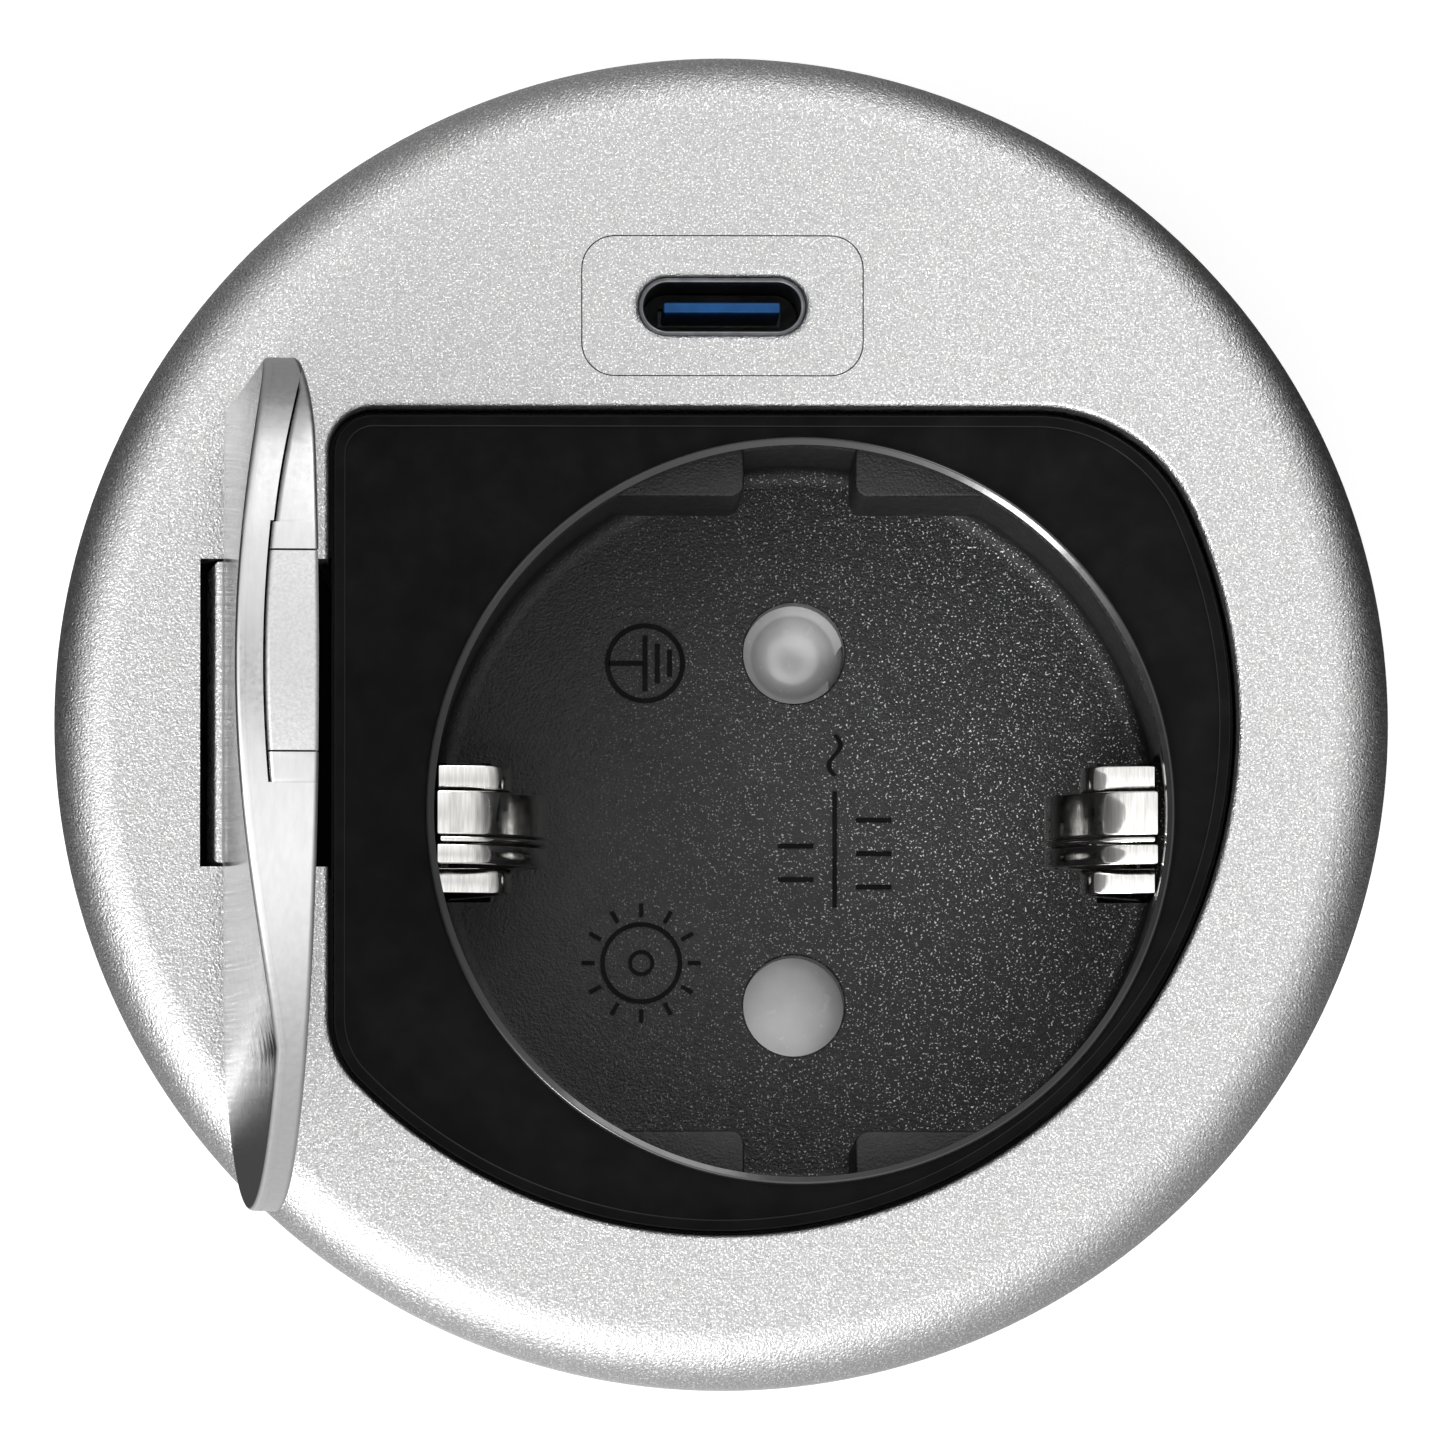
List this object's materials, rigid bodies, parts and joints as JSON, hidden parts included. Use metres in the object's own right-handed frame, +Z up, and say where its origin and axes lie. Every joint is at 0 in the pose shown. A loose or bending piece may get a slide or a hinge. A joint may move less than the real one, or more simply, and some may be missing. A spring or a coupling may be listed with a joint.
{
  "type": "desk grommet",
  "caption": "Round in-desk power grommet with an earthed socket well, a USB-C port, a hinged lid that closes flush and a ring nut that clamps it in the desk hole.",
  "frame": {"origin": "centre of the 60 mm desk hole on the desk's top surface, which is the flange's underside", "axes": "+Z up out of the desk, along the collar's axis; +X from the lid's hinge across the socket; +Y towards the USB port"},
  "size_m": [0.071, 0.071, 0.1064],
  "materials": {
    "silver_paint": "fine-grained metallic paint",
    "satin_metal": "satin polished",
    "grained_plastic": "grained silver plastic",
    "black_plastic": "moulded, fine spark grain",
    "grey_plastic": "moulded",
    "pale_plastic": "moulded, light grey",
    "nickel_strip": "polished nickel plate",
    "zinc_steel": "zinc plated",
    "brass": "stamped",
    "usb_blue": "moulded blue",
    "circuit_board": "green solder mask",
    "dark_component": "moulded black",
    "capacitor_can": "drawn can",
    "black_rubber": "matt",
    "brown_lead": "PVC insulation",
    "blue_lead": "PVC insulation"
  },
  "bodies": {
    "body": {"bezel": "silver_paint", "contact_carrier": "grey_plastic", "contact_live": "brass", "contact_neutral": "brass", "cover_screw_1": "zinc_steel", "cover_screw_2": "zinc_steel", "cover_screw_3": "zinc_steel", "earth_bar": "nickel_strip", "earth_clip_left": "nickel_strip", "earth_clip_right": "nickel_strip", "flange_gasket": "black_rubber", "gland_body": "black_plastic", "gland_cap_nut": "black_plastic", "gland_lock_nut": "grey_plastic", "hinge_pin": "zinc_steel", "housing": "black_plastic", "rear_cover": "black_plastic", "shutter_spring": "zinc_steel", "socket_insert": "black_plastic", "terminal_screw_earth": "zinc_steel", "terminal_screw_live": "zinc_steel", "terminal_screw_neutral": "zinc_steel", "usb_board": "circuit_board", "usb_capacitor": "capacitor_can", "usb_controller_chip": "dark_component", "usb_face_plate": "silver_paint", "usb_lead_live": "brown_lead", "usb_lead_neutral": "blue_lead", "usb_shell": "zinc_steel", "usb_tongue": "usb_blue", "usb_transformer": "dark_component"},
    "lid": {"lid_cover": "satin_metal", "lid_inner": "satin_metal", "lid_catch": "grained_plastic"},
    "shutter": {"pin_shutter": "pale_plastic"},
    "clamp_washer": {"clamp_washer": "zinc_steel"},
    "ring_nut": {"ring_nut": "black_plastic"}
  },
  "joints": [
    {"name": "lid_hinge", "type": "hinge", "parent": "body", "child": "lid", "pos_m": [-0.0244, 0.00036, 0.0021], "axis": [0, 1, 0], "range_deg": [0, 86]},
    {"name": "shutter_turn", "type": "hinge", "parent": "body", "child": "shutter", "pos_m": [0.0042, -0.0047, -0.0196], "axis": [0, 0, 1], "range_deg": [0, 30], "stiffness_Nm_per_rad": 0.004},
    {"name": "washer_travel", "type": "slide", "parent": "body", "child": "clamp_washer", "axis": [0, 0, 1], "range_m": [-0.004, 0.008]},
    {"name": "nut_turn", "type": "hinge", "parent": "clamp_washer", "child": "ring_nut", "pos_m": [0, 0, -0.0178], "axis": [0, 0, 1], "range_deg": [-480, 960]}
  ],
  "couplings": [
    {"joint": "washer_travel", "follows": "nut_turn", "m_per_rad": 0.000477}
  ]
}
